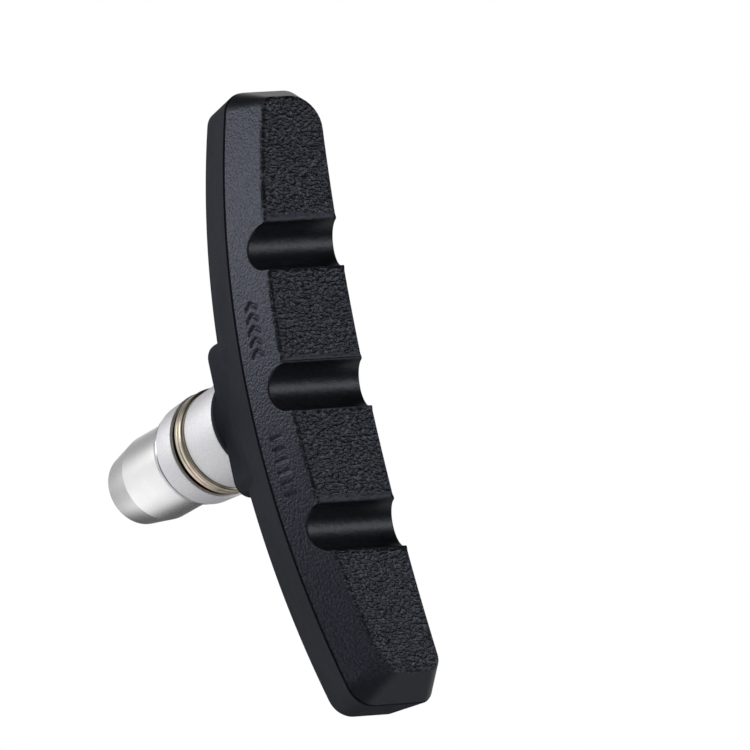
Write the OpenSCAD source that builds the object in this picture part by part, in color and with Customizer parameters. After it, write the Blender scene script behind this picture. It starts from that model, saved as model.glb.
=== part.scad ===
// Bicycle rim brake pad with a threaded stud, self-aligning washers and a barrel nut.
// Millimetres. The friction face lies on z = 0 and the stud stands on the z axis.
// The pad's length runs along x, and its convex edge, on the tyre's side, faces +y.

/* [Friction face] */
// Length of the friction face
face_l = 66.8; // [56:0.1:80]
// Stud axis to the middle of the convex edge
face_out = 4.7; // [4:0.1:6]
// Stud axis to the middle of the concave edge
face_in = 5.9; // [5:0.1:7]
// Radius of the convex edge
bow_out_r = 113; // [100:1:180]
// Radius of the concave edge
bow_in_r = 303; // [250:1:500]
// Radius of the face's four corners
face_corner_r = 2.5; // [1:0.1:2.6]
// Rounding between the face and the sides
face_edge_r = 0.6; // [0.2:0.05:0.8]

/* [Block behind the face] */
// Height from the friction face to the parting line
front_h = 5.6; // [4.5:0.1:7]
// How far the long sides lean out down to the parting line
side_flare = 1.7; // [0.8:0.1:2.2]
// How far the ends lean out down to the parting line
end_flare = 2.3; // [1:0.1:3.2]
// Radius of the block's corners at the parting line
parting_corner_r = 2; // [1:0.1:3]
// Width of the line pressed in along the parting line
parting_w = 0.5; // [0.3:0.05:0.8]
// Depth of the line pressed in along the parting line
parting_d = 0.3; // [0.1:0.05:0.4]
// Height from the parting line to the back
back_h = 6.4; // [5.5:0.1:8]
// How far the long sides lean in up to the back
back_taper = 1.15; // [0.4:0.05:1.5]
// How far the ends lean in up to the back
back_end_taper = 0.4; // [0.1:0.1:1.2]
// Radius of the block's corners at the back
back_corner_r = 1.4; // [1.3:0.1:3]
// Rounding round the back
back_edge_r = 0.8; // [0.4:0.1:1.2]

/* [Water grooves] */
// Number of grooves across the friction face
groove_n = 3; // [1:1:3]
// Distance from one groove to the next
groove_pitch = 16.3; // [12:0.1:19]
// Width of a groove at the friction face
groove_w = 5.4; // [3:0.1:6]
// Depth of a groove
groove_depth = 2.7; // [1.5:0.1:3]

/* [Hub on the back] */
// Length of the thicker pad round the stud
hub_l = 18; // [15:0.5:24]
// Width of the thicker pad round the stud
hub_w = 10.9; // [9:0.1:12]
// Corner radius of the thicker pad
hub_corner_r = 2; // [1:0.1:3]
// Height of the thicker pad over the back
hub_h = 1.4; // [0.6:0.1:2.5]
// Diameter of the round seat under the first washer
boss_d = 12.4; // [12.2:0.1:13.4]
// Height of the round seat over the thicker pad
boss_h = 0.6; // [0.3:0.1:1.5]
// Diameter at which the flare under the seat leaves the back
boss_root_d = 10.3; // [9.5:0.1:10.7]

/* [Backing plate] */
// Length of the steel plate
plate_l = 56; // [40:0.5:62]
// Width of the steel plate
plate_w = 8; // [7:0.1:9]
// Thickness of the steel plate
plate_t = 1.6; // [1:0.1:2]
// Radius along the middle of the plate
plate_bow_r = 165; // [120:1:300]
// Number of moulding holes on each side of the stud
plate_hole_n = 2; // [1:1:3]
// Distance from one moulding hole to the next
plate_hole_pitch = 9; // [6:0.5:9]
// Diameter of the moulding holes
plate_hole_d = 3.5; // [2:0.1:4.5]
// Height from the parting line to the plate
plate_lift = 1.8; // [1.6:0.1:2.6]

/* [Threaded stud] */
// Outer diameter of the thread
thread_d = 6; // [5:0.5:6]
// Diameter of the stud's head, under the plate
head_d = 9; // [8:0.1:9.5]
// Thickness of the stud's head
head_h = 1.6; // [1:0.1:1.8]
// Space between the stud's tip and the key's socket
tip_gap = 0.5; // [0.2:0.1:1.5]
// Chamfer on the stud's tip
tip_chamfer = 0.7; // [0.3:0.1:1]

/* [Washers] */
// Outer diameter of the two thin convex washers
dome_d = 12.2; // [11.6:0.1:13]
// Thickness of a convex washer's rim
dome_rim_h = 0.75; // [0.5:0.05:1.5]
// Diameter of the spherical part of a convex washer at its foot
dome_foot_d = 10.6; // [10.3:0.1:11]
// Radius of the spherical seats
seat_r = 6; // [5.8:0.1:6.4]
// Clearance between the stud and a convex washer's hole, on the radius
dome_hole_gap = 0.3; // [0.1:0.05:0.5]
// Clearance between the stud and a cupped washer's hole, on the radius
cup_hole_gap = 0.8; // [0.5:0.05:1]
// Outer diameter of the thick cupped washer at its foot
inner_cup_d = 12.2; // [11.8:0.1:13]
// Outer diameter of the thick cupped washer at its rim
inner_cup_rim_d = 11.5; // [11.2:0.1:12]
// Thickness of the thick cupped washer
inner_cup_h = 6.5; // [5:0.1:8]
// Open gap between the thick cupped washer's rim and the convex washer
inner_rim_gap = 0.15; // [0.1:0.05:0.4]
// Outer diameter of the thin cupped washer at its rim
outer_cup_d = 12.4; // [12:0.1:13]
// Outer diameter of the thin cupped washer on the nut's side
outer_cup_end_d = 11.9; // [11.5:0.1:12.4]
// Thickness of the thin cupped washer
outer_cup_h = 3.6; // [2.5:0.1:5]
// Open gap between the thin cupped washer's rim and the convex washer
outer_rim_gap = 0.7; // [0.4:0.05:0.9]
// Diameter of the thin cupped washer's spherical seat, inside its sloping mouth
outer_seat_d = 9; // [8.4:0.1:9.4]
// Flat left round the mouth of the thin cupped washer
outer_land = 0.15; // [0.1:0.05:0.6]
// Chamfer on the cupped washers' outer edges
cup_chamfer = 0.25; // [0.1:0.05:0.4]
// Outer diameter of the flat washer
flat_d = 11.4; // [10.4:0.1:12]
// Thickness of the flat washer
flat_h = 0.8; // [0.5:0.1:1.5]
// Clearance between the stud and the flat washer's hole, on the radius
flat_hole_gap = 0.2; // [0.1:0.05:0.4]

/* [Barrel nut] */
// Diameter of the nut
nut_d = 10.1; // [9.8:0.1:11]
// Length of the nut
nut_h = 12.5; // [11.5:0.1:15]
// Length of the tapered end
nut_taper_h = 4.6; // [3:0.1:6]
// Diameter of the tapered end's face
nut_end_d = 8.4; // [8:0.1:9]
// Chamfer on the edge beside the flat washer
nut_foot_chamfer = 0.2; // [0.1:0.05:0.4]
// Size of the hexagon key, across its flats
key_af = 5; // [4:0.5:5.5]
// Depth of the key's socket
key_depth = 5; // [3:0.1:5.5]
// Width of the chamfer outside the corners of the key's socket
key_chamfer = 0.2; // [0.1:0.05:0.4]
// Clearance between the threads, on the radius
thread_gap = 0.04; // [0.02:0.01:0.1]

/* [Hidden] */

// Fineness of turned parts and of the block's outline
turned_fn = 96;
plate_fn = 360;
corner_steps = 6;
out_edge_steps = 30;
in_edge_steps = 16;
round_steps = 3;
// Cuts reach this far past the faces that they go through
over = 1;

// Heights, from the friction face to the nut's end
back_z = front_h + back_h;
hub_z = back_z + hub_h;
boss_z = hub_z + boss_h;
inner_cup_rim_z = boss_z + inner_cup_h;
dome_foot_z = inner_cup_rim_z + inner_rim_gap;
clamp_z = dome_foot_z + dome_rim_h;
outer_foot_z = clamp_z + dome_rim_h;
outer_cup_rim_z = outer_foot_z + outer_rim_gap;
outer_cup_end_z = outer_cup_rim_z + outer_cup_h;
nut_z = outer_cup_end_z + flat_h;
nut_end_z = nut_z + nut_h;
plate_z = front_h + plate_lift;
socket_z = nut_end_z - key_depth;
stud_tip_z = socket_z - tip_gap;

// A sphere of radius seat_r whose section at the foot has the foot's diameter
// has its centre this far from the foot
seat_drop = sqrt(seat_r * seat_r - dome_foot_d * dome_foot_d / 4);
dome_hole_r = thread_d / 2 + dome_hole_gap;
cup_hole_r = thread_d / 2 + cup_hole_gap;
dome_top_h = sqrt(seat_r * seat_r - dome_hole_r * dome_hole_r) - seat_drop;

// Mouth of the thin cupped washer, which slopes down from the rim to the edge of its seat
outer_mouth_r = outer_cup_d / 2 - cup_chamfer - outer_land;
outer_seat_centre_z = outer_foot_z - seat_drop;
outer_seat_edge_z = outer_seat_centre_z + sqrt(seat_r * seat_r - outer_seat_d * outer_seat_d / 4);
outer_mouth_h = outer_seat_edge_z - outer_cup_rim_z;

// Mouth of the hexagon socket, a 45 degree cone from the flats to outside the corners
key_corner_d = key_af / cos(30);
key_mouth_d = key_corner_d + 2 * key_chamfer;
key_mouth_h = (key_mouth_d - key_af) / 2;

// Width across the block at the stud
block_w = face_out + face_in + 2 * side_flare;

// Round groove whose chord on the face is groove_w
groove_r = (groove_w * groove_w / 4 + groove_depth * groove_depth) / (2 * groove_depth);

rubber_colour = [0.11, 0.12, 0.13];
alloy_colour = [0.86, 0.86, 0.88];
plated_colour = [0.80, 0.70, 0.48];
steel_colour = [0.66, 0.67, 0.69];

// Points along an arc of radius r round c, from angle a0 to a1, less skip points at each end
function arc(c, r, a0, a1, steps, skip = 0) =
    [for (i = [skip:steps - skip]) let (a = a0 + (a1 - a0) * i / steps) c + r * [cos(a), sin(a)]];

// Outline of the block, counter-clockwise, with its sides moved out by side, its ends by end
// and its corners rounded by r
function outline(side, end, r) =
    let (
        out_r = bow_out_r + side,
        in_r = bow_in_r - side,
        out_c = [0, face_out - bow_out_r],
        in_c = [0, -face_in - bow_in_r],
        x = face_l / 2 + end - r,
        out_p = [x, out_c.y + sqrt((out_r - r) * (out_r - r) - x * x)],
        in_p = [x, in_c.y + sqrt((in_r + r) * (in_r + r) - x * x)],
        out_a = atan2(out_p.y - out_c.y, x),
        in_a = atan2(in_p.y - in_c.y, x)
    )
    concat(
        arc(out_p, r, 0, out_a, corner_steps),
        arc(out_c, out_r, out_a, 180 - out_a, out_edge_steps, 1),
        arc([-out_p.x, out_p.y], r, 180 - out_a, 180, corner_steps),
        arc([-in_p.x, in_p.y], r, 180, 360 - in_a, corner_steps),
        arc(in_c, in_r, 180 - in_a, in_a, in_edge_steps, 1),
        arc(in_p, r, in_a - 180, 0, corner_steps)
    );

// Solid through outlines of equal count, one for each [z, side, end, r], cut square at both ends
module loft(levels) {
    low = levels[0];
    high = levels[len(levels) - 1];
    past = [over, 0, 0, 0];
    all_levels = concat([low - past], levels, [high + past]);
    rings = [for (v = all_levels) [for (p = outline(v[1], v[2], v[3])) [p.x, p.y, v[0]]]];
    n = len(rings[0]);
    top = (len(rings) - 1) * n;
    intersection() {
        polyhedron(
            points = [for (ring = rings) each ring],
            faces = concat(
                [[for (i = [0:n - 1]) i]],
                [for (k = [0:len(rings) - 2], i = [0:n - 1])
                    [k * n + i, (k + 1) * n + i, (k + 1) * n + (i + 1) % n, k * n + (i + 1) % n]],
                [[for (i = [n - 1:-1:0]) top + i]]
            )
        );
        translate([-face_l, -face_l, low[0]])
            cube([2 * face_l, 2 * face_l, high[0] - low[0]]);
    }
}

// Rounded rectangle of size l by w, standing from z0 to z1
module rounded_bar(l, w, r, z0, z1) {
    translate([0, 0, z0])
        linear_extrude(height = z1 - z0)
            union() {
                square([l - 2 * r, w], center = true);
                square([l, w - 2 * r], center = true);
                for (x = [-1, 1], y = [-1, 1])
                    translate([x * (l / 2 - r), y * (w / 2 - r)])
                        circle(r = r, $fn = turned_fn / 2);
            }
}

// Plate without its holes: a strip along an arc, with round ends
module plate_blank() {
    a = asin((plate_l - plate_w) / (2 * plate_bow_r));
    far = 2 * plate_bow_r;
    translate([0, -plate_bow_r, plate_z])
        linear_extrude(height = plate_t) {
            intersection() {
                difference() {
                    circle(r = plate_bow_r + plate_w / 2, $fn = plate_fn);
                    circle(r = plate_bow_r - plate_w / 2, $fn = plate_fn);
                }
                polygon([[0, 0], [far * sin(a), far * cos(a)], [-far * sin(a), far * cos(a)]]);
            }
            for (s = [-1, 1])
                translate([s * plate_bow_r * sin(a), plate_bow_r * cos(a)])
                    circle(d = plate_w, $fn = turned_fn);
        }
}

// Block of moulded rubber: drafted front zone, pressed parting line, tapered back zone,
// hub and seat, with water grooves across the face and the metal insert's space inside
module brake_block() {
    front = [
        for (i = [0:round_steps])
            let (
                a = 90 * i / round_steps,
                z = face_edge_r * (1 - cos(a)),
                inset = face_edge_r * (1 - sin(a))
            )
            [z, side_flare * z / front_h - inset, end_flare * z / front_h - inset,
             face_corner_r - inset]
    ];
    middle = [
        [front_h - parting_w / 2, side_flare, end_flare, parting_corner_r],
        [front_h, side_flare - parting_d, end_flare - parting_d, parting_corner_r],
        [front_h + parting_w / 2, side_flare, end_flare, parting_corner_r]
    ];
    back = [
        for (i = [0:round_steps])
            let (a = 90 * i / round_steps, inset = back_edge_r * (1 - cos(a)))
            [back_z - back_edge_r * (1 - sin(a)), side_flare - back_taper - inset,
             end_flare - back_end_taper - inset, back_corner_r - inset]
    ];
    color(rubber_colour)
    difference() {
        union() {
            loft(concat(front, middle, back));
            rounded_bar(hub_l, hub_w, hub_corner_r, front_h + parting_w, hub_z);
            translate([0, 0, back_z])
                cylinder(d1 = boss_root_d, d2 = boss_d, h = hub_h, $fn = turned_fn);
            translate([0, 0, hub_z])
                cylinder(d = boss_d, h = boss_h, $fn = turned_fn);
        }
        for (i = [0:groove_n - 1])
            translate([(i - (groove_n - 1) / 2) * groove_pitch, 0, groove_depth - groove_r])
                rotate([90, 0, 0])
                    cylinder(r = groove_r, h = 2 * block_w, center = true, $fn = turned_fn);
        difference() {
            plate_blank();
            plate_holes();
        }
        translate([0, 0, plate_z - head_h])
            cylinder(d = head_d, h = head_h + plate_t / 2, $fn = turned_fn);
        translate([0, 0, plate_z])
            cylinder(d = thread_d, h = boss_z - plate_z + over, $fn = turned_fn);
    }
}

// Moulding holes through the plate
module plate_holes() {
    for (side = [-1, 1], i = [1:plate_hole_n])
        let (a = side * i * plate_hole_pitch * 180 / (PI * plate_bow_r))
        translate([plate_bow_r * sin(a), plate_bow_r * (cos(a) - 1), plate_z - over])
            cylinder(d = plate_hole_d, h = plate_t + 2 * over, $fn = turned_fn / 2);
}

// Curved steel strip inside the rubber, riveted to the stud
module backing_plate() {
    color(steel_colour)
    difference() {
        plate_blank();
        plate_holes();
        translate([0, 0, plate_z - over])
            cylinder(d = thread_d, h = plate_t + 2 * over, $fn = turned_fn);
    }
}

// Stud with a flat head under the plate and a chamfered tip
module threaded_stud() {
    color(steel_colour)
    rotate_extrude($fn = turned_fn)
        polygon([
            [0, plate_z - head_h],
            [head_d / 2, plate_z - head_h],
            [head_d / 2, plate_z],
            [thread_d / 2, plate_z],
            [thread_d / 2, stud_tip_z - tip_chamfer],
            [thread_d / 2 - tip_chamfer, stud_tip_z],
            [0, stud_tip_z]
        ]);
}

// Thick cupped washer on the block's seat, open towards the nut
module inner_cup_washer() {
    color(alloy_colour)
    difference() {
        rotate_extrude($fn = turned_fn)
            polygon([
                [cup_hole_r, boss_z],
                [inner_cup_d / 2 - cup_chamfer, boss_z],
                [inner_cup_d / 2, boss_z + cup_chamfer],
                [inner_cup_rim_d / 2, inner_cup_rim_z - cup_chamfer],
                [inner_cup_rim_d / 2 - cup_chamfer, inner_cup_rim_z],
                [cup_hole_r, inner_cup_rim_z]
            ]);
        translate([0, 0, dome_foot_z + seat_drop])
            sphere(r = seat_r, $fn = turned_fn);
    }
}

// Convex washer standing on z = 0 with its spherical side up
module dome_washer() {
    color(plated_colour)
    difference() {
        union() {
            cylinder(d = dome_d, h = dome_rim_h, $fn = turned_fn);
            intersection() {
                translate([0, 0, dome_rim_h - seat_drop])
                    sphere(r = seat_r, $fn = turned_fn);
                cylinder(d = dome_foot_d, h = dome_rim_h + dome_top_h, $fn = turned_fn);
            }
        }
        translate([0, 0, -over])
            cylinder(r = dome_hole_r, h = dome_rim_h + dome_top_h + 2 * over, $fn = turned_fn);
    }
}

// Convex washer seated in the thick cup
module inner_dome_washer() {
    translate([0, 0, clamp_z])
        mirror([0, 0, 1])
            dome_washer();
}

// Convex washer seated in the thin cup
module outer_dome_washer() {
    translate([0, 0, clamp_z])
        dome_washer();
}

// Thin cupped washer, open towards the block
module outer_cup_washer() {
    color(alloy_colour)
    difference() {
        rotate_extrude($fn = turned_fn)
            polygon([
                [cup_hole_r, outer_cup_rim_z],
                [outer_cup_d / 2 - cup_chamfer, outer_cup_rim_z],
                [outer_cup_d / 2, outer_cup_rim_z + cup_chamfer],
                [outer_cup_end_d / 2, outer_cup_end_z - cup_chamfer],
                [outer_cup_end_d / 2 - cup_chamfer, outer_cup_end_z],
                [cup_hole_r, outer_cup_end_z]
            ]);
        translate([0, 0, outer_seat_centre_z])
            sphere(r = seat_r, $fn = turned_fn);
        translate([0, 0, outer_cup_rim_z])
            cylinder(r1 = outer_mouth_r, r2 = outer_seat_d / 2, h = outer_mouth_h, $fn = turned_fn);
    }
}

// Flat washer between the thin cup and the nut
module flat_washer() {
    color(steel_colour)
    translate([0, 0, outer_cup_end_z])
        difference() {
            cylinder(d = flat_d, h = flat_h, $fn = turned_fn);
            translate([0, 0, -over])
                cylinder(r = thread_d / 2 + flat_hole_gap, h = flat_h + 2 * over, $fn = turned_fn);
        }
}

// Barrel nut with a tapered end and a hexagon socket that opens into its thread
module nut() {
    color(steel_colour)
    difference() {
        rotate_extrude($fn = turned_fn)
            polygon([
                [0, nut_z],
                [nut_d / 2 - nut_foot_chamfer, nut_z],
                [nut_d / 2, nut_z + nut_foot_chamfer],
                [nut_d / 2, nut_end_z - nut_taper_h],
                [nut_end_d / 2, nut_end_z],
                [0, nut_end_z]
            ]);
        translate([0, 0, nut_z - over])
            cylinder(r = thread_d / 2 + thread_gap, h = nut_h - key_depth + over, $fn = turned_fn);
        translate([0, 0, socket_z])
            cylinder(d = key_corner_d, h = key_depth + over, $fn = 6);
        translate([0, 0, nut_end_z - key_mouth_h])
            cylinder(d1 = key_af, d2 = key_mouth_d, h = key_mouth_h, $fn = turned_fn);
    }
}

brake_block();
backing_plate();
threaded_stud();
inner_cup_washer();
inner_dome_washer();
outer_dome_washer();
outer_cup_washer();
flat_washer();
nut();
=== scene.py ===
"""Bicycle rim brake pad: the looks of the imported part, in metres, in its own frame."""

import math

import bmesh
import bpy
import numpy as np
from mathutils import Matrix, Vector, noise


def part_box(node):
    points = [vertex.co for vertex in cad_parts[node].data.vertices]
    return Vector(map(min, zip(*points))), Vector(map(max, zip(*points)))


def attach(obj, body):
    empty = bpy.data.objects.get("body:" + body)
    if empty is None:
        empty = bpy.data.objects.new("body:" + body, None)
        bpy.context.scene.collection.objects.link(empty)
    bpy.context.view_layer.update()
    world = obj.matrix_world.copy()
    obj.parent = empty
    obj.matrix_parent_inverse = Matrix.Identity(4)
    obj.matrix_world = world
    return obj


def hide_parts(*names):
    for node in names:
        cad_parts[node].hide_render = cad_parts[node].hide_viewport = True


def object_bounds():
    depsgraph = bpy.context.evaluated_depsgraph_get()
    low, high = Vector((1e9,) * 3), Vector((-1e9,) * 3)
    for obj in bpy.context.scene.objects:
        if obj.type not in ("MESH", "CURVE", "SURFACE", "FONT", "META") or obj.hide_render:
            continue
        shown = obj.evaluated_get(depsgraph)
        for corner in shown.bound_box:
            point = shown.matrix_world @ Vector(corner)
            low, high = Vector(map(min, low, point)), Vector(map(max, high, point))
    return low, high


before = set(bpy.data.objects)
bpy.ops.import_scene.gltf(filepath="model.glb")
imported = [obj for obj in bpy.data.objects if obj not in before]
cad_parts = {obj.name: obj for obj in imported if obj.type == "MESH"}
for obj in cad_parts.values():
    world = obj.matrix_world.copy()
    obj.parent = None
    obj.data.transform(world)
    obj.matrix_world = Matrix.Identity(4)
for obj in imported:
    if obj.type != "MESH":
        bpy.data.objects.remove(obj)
cad_box = [list(corner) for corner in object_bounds()]

MM = 0.001

# The crinkle's noise takes its seed from the clock unless it is given one, and no two runs are alike
NOISE_SEED = 7
noise.seed_set(NOISE_SEED)

# The block, in millimetres. Its friction face lies at z = 0, its length runs along x, and its convex
# side faces +y. The sizes are the frame's own, apart from a finer face edge and parting line.
FACE_L, FACE_OUT, FACE_IN = 66.8, 4.7, 5.9
BOW_OUT_R, BOW_IN_R = 113, 303
FACE_EDGE_R = 0.4
FRONT_H, SIDE_FLARE, END_FLARE = 5.6, 1.7, 2.3
PARTING_W, PARTING_D, PARTING_SLOPE = 0.36, 0.2, 2.86
BACK_Z, BACK_TAPER, BACK_END_TAPER = 12.0, 1.15, 0.4
BACK_EDGE_R = 0.8
GROOVE_XS, GROOVE_R = (-16.3, 0, 16.3), 2.7
HUB_L, HUB_W, HUB_CORNER_R, HUB_Z = 18, 10.9, 2, 13.4
BOSS_D, BOSS_ROOT_D = 12.4, 10.3

# Radii of the block's corners at the face, at the parting line and at the back, by end (-1 or 1)
# and side (True for the convex one). The moulding is a little uneven, as the photo's two ends show.
CORNER_RS = {
    (-1, True): (1.6, 3.0, 2.2),
    (-1, False): (3.6, 2.6, 2.0),
    (1, True): (3.6, 3.2, 2.9),
    (1, False): (1.6, 1.6, 1.3),
}

# Roundings of the groove's rims, of its open ends and of the hub, and how far from a groove the face's
# edge comes back to its full rounding
GROOVE_RIM_R, GROOVE_END_R, HUB_EDGE_R = 0.18, 0.16, 0.35
EDGE_BLEND_W = 0.5

# The crinkle of the face: how deep it is, how wide the smooth border is over which it fades in, how far
# it runs over the face's edges, and how far it keeps from the grooves
RELIEF_DEPTH, SMOOTH_BORDER, OVER_EDGE, OFF_GROOVE = 0.11, 0.25, 0.1, 0.3

# Beside the grooves the face is rolled over, and on one side of each it is worn
RIM_ROLL_W, RIM_ROLL_H, WORN_RIM_W = 0.9, 0.16, 0.72

# The marks on the convex side: their depth, their half width and their height, as a share of the front's
MARK_DEPTH, MARK_HALF_W, MARK_AT = 0.2, 0.17, 0.56
CHEVRONS, CHEVRON_X, CHEVRON_PITCH = 5, -10.6, 1.35
CHEVRON_HALF_H, CHEVRON_LEAN, CHEVRON_LEAN_COS = 0.9, 0.8, 0.78
BARS, BAR_X, BAR_PITCH, BAR_HALF_H = 6, 5.0, 1.3, 0.85

# Turned pieces
TURN_STEPS = 192
STUD_R, TIP_CHAMFER, SEAT_R = 3.0, 0.7, 6.0
DOME_RIM_H, DOME_HOLE_R, DOME_FOOT_R = 0.75, 3.3, 5.3
# From a convex washer's foot to the centre of its sphere
DOME_DROP = math.sqrt(SEAT_R ** 2 - DOME_FOOT_R ** 2)
CUP_HOLE_R, THICK_CUP_TAPER = 3.8, 0.35
THIN_CUP_MOUTH_R, THIN_CUP_SEAT_R, THIN_CUP_TAPER = 5.8, 4.5, 0.25
FLAT_HOLE_R = 3.2
NUT_TAPER_H, NUT_END_R, THREAD_GAP = 4.6, 4.2, 0.04
KEY_AF, KEY_DEPTH, KEY_CHAMFER = 5.0, 5.0, 0.2

# The stud's thread: it starts a little above the hub, and a flank runs between two distances from the
# middle of the thread's groove, as shares of the pitch
THREAD_PITCH, THREAD_DEPTH, THREAD_FLANK, THREAD_START = 1.0, 0.58, (0.06, 0.42), 0.3
THREAD_STEPS, RINGS_PER_PITCH = 64, 8

# The photo's camera: a long lens that looks at the friction face, from below the pad's own floor
CAMERA_AT = (0.523590, 1.329694, -1.928634)
CAMERA_RIGHT = (0.20530, -0.82961, -0.51922)
CAMERA_DOWN = (0.95410, 0.05146, 0.29503)
FOCAL_PX, PHOTO_PX, SENSOR_MM = 21668, 750, 36


def link(obj):
    bpy.context.scene.collection.objects.link(obj)
    return obj


def add_camera():
    data = bpy.data.cameras.new("camera")
    camera = link(bpy.data.objects.new("camera", data))
    right = Vector(CAMERA_RIGHT).normalized()
    up = -Vector(CAMERA_DOWN)
    up = (up - right * up.dot(right)).normalized()
    turn = Matrix((right, up, right.cross(up))).transposed()
    camera.matrix_world = Matrix.Translation(CAMERA_AT) @ turn.to_4x4()
    data.sensor_width = SENSOR_MM
    data.lens = FOCAL_PX * SENSOR_MM / PHOTO_PX
    data.clip_start, data.clip_end = 0.1, 10
    bpy.context.scene.camera = camera


add_camera()


# Materials

# A Mix node repeats its sockets' names for each kind of value, so they are reached by their places
MIX_FACTOR = 0
VALUE_A, VALUE_B, VALUE_OUT = 2, 3, 0
COLOUR_A, COLOUR_B, COLOUR_OUT = 6, 7, 2


class Shader:
    """A material's node tree, with the few nodes that the finishes here are made of."""

    def __init__(self, name, **principled):
        self.material = bpy.data.materials.new(name)
        self.material.use_nodes = True
        self.tree = self.material.node_tree
        self.bsdf = self.tree.nodes["Principled BSDF"]
        for socket, value in principled.items():
            self.bsdf.inputs[socket.replace("_", " ")].default_value = value
        self.place = self.tree.nodes.new("ShaderNodeTexCoord").outputs["Object"]
        self.normal = None

    def join(self, a, b):
        self.tree.links.new(a, b)

    def node(self, kind, **settings):
        made = self.tree.nodes.new(kind)
        for key, value in settings.items():
            setattr(made, key, value)
        return made

    def stretched(self, scale):
        """The object's own coordinates, in millimetres, times scale along each axis."""
        mapping = self.node("ShaderNodeMapping")
        mapping.inputs["Scale"].default_value = [s / MM for s in scale]
        self.join(self.place, mapping.inputs["Vector"])
        return mapping.outputs["Vector"]

    def noise(self, size_mm, detail=3.0, roughness=0.55, scale=(1, 1, 1)):
        made = self.node("ShaderNodeTexNoise")
        made.inputs["Scale"].default_value = 1 / size_mm
        made.inputs["Detail"].default_value = detail
        made.inputs["Roughness"].default_value = roughness
        self.join(self.stretched(scale), made.inputs["Vector"])
        return made.outputs["Fac"]

    def toward_ends(self, low_mm, high_mm):
        """0 where the object's x is less than low_mm either way, rising to 1 at high_mm."""
        parts = self.node("ShaderNodeSeparateXYZ")
        self.join(self.place, parts.inputs["Vector"])
        size = self.node("ShaderNodeMath", operation="ABSOLUTE")
        self.join(parts.outputs["X"], size.inputs[0])
        made = self.node("ShaderNodeMapRange", interpolation_type="SMOOTHSTEP")
        made.inputs["From Min"].default_value = low_mm * MM
        made.inputs["From Max"].default_value = high_mm * MM
        self.join(size.outputs[0], made.inputs["Value"])
        return made.outputs["Result"]

    def faded(self, height, factor):
        """A height that goes flat, to its middle value, where factor is 1."""
        made = self.node("ShaderNodeMix")
        self.join(factor, made.inputs[MIX_FACTOR])
        self.join(height, made.inputs[VALUE_A])
        made.inputs[VALUE_B].default_value = 0.5
        return made.outputs[VALUE_OUT]

    def ramp(self, factor, *stops):
        made = self.node("ShaderNodeValToRGB")
        elements = made.color_ramp.elements
        while len(elements) < len(stops):
            elements.new(0.5)
        for element, (at, colour) in zip(elements, stops):
            element.position = at
            element.color = (*colour, 1)
        self.join(factor, made.inputs["Fac"])
        return made.outputs["Color"]

    def mixed(self, factor, a, b):
        made = self.node("ShaderNodeMix", data_type="RGBA")
        self.join(factor, made.inputs[MIX_FACTOR])
        self.join(a, made.inputs[COLOUR_A])
        self.join(b, made.inputs[COLOUR_B])
        return made.outputs[COLOUR_OUT]

    def colour(self, output):
        self.join(output, self.bsdf.inputs["Base Color"])

    def roughness(self, factor, low, high):
        made = self.node("ShaderNodeMapRange")
        made.inputs["To Min"].default_value = low
        made.inputs["To Max"].default_value = high
        self.join(factor, made.inputs["Value"])
        self.join(made.outputs["Result"], self.bsdf.inputs["Roughness"])

    def bump(self, height, depth_mm):
        """Adds height, times depth_mm, to the surface. Later calls add to earlier ones."""
        made = self.node("ShaderNodeBump")
        made.inputs["Strength"].default_value = 1.0
        made.inputs["Distance"].default_value = depth_mm * MM
        self.join(height, made.inputs["Height"])
        if self.normal:
            self.join(self.normal, made.inputs["Normal"])
        self.normal = made.outputs["Normal"]
        self.join(self.normal, self.bsdf.inputs["Normal"])


RUBBER_SHEEN = (0.74, 0.79, 1.0, 1)
GROOVE_SHEEN = (0.80, 0.84, 0.95, 1)
# Where the sides' grain fades into the polished ends, in millimetres from the stud
POLISHED_FROM_TO = (32.4, 34.0)


def friction_rubber():
    """The crinkled face: short wrinkles across the pad, coloured light on their tops as a painted
    highlight and near black between them as painted shade.
    """
    s = Shader("friction_rubber", Specular_IOR_Level=0.55, Specular_Tint=RUBBER_SHEEN)
    waves = s.noise(0.42, detail=1.5, roughness=0.5, scale=(1.3, 0.8, 1))
    wrinkle = s.ramp(waves, (0.36, (0, 0, 0)), (0.70, (1, 1, 1)))
    # The crinkle's height also sets the colour: painted shade in its hollows and painted highlights on its
    # crests
    s.colour(s.ramp(
        wrinkle,
        (0.0, (0.0028, 0.0028, 0.0038)),
        (0.5, (0.009, 0.009, 0.012)),
        (1.0, (0.070, 0.071, 0.078)),
    ))
    s.roughness(s.noise(0.25), 0.30, 0.46)
    s.bump(wrinkle, 0.10)
    s.bump(s.noise(0.2, detail=2.0), 0.05)
    return s.material


def side_rubber():
    """The drafted sides: a matte, spark-eroded grain in blue-black, polished away at the two ends."""
    s = Shader("side_rubber", Roughness=0.38, Specular_IOR_Level=0.5, Specular_Tint=RUBBER_SHEEN)
    grain = s.noise(0.3, detail=2.5)
    polish = s.toward_ends(*POLISHED_FROM_TO)
    grainy = s.ramp(grain, (0.35, (0.006, 0.0065, 0.011)), (0.65, (0.024, 0.026, 0.040)))
    smooth = s.ramp(grain, (0.3, (0.003, 0.0033, 0.005)), (0.7, (0.006, 0.0065, 0.009)))
    s.colour(s.mixed(polish, grainy, smooth))
    s.bump(s.faded(grain, polish), 0.1)
    return s.material


def smooth_rubber():
    """Grooves: a satin moulded skin."""
    s = Shader("smooth_rubber", Specular_IOR_Level=0.5, Specular_Tint=GROOVE_SHEEN)
    clouds = s.noise(1.2)
    s.colour(s.ramp(clouds, (0.3, (0.0035, 0.0038, 0.0055)), (0.7, (0.0060, 0.0066, 0.0092))))
    s.roughness(s.noise(0.5), 0.36, 0.48)
    s.bump(s.noise(0.8, detail=4.0, roughness=0.65), 0.06)
    return s.material


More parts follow.
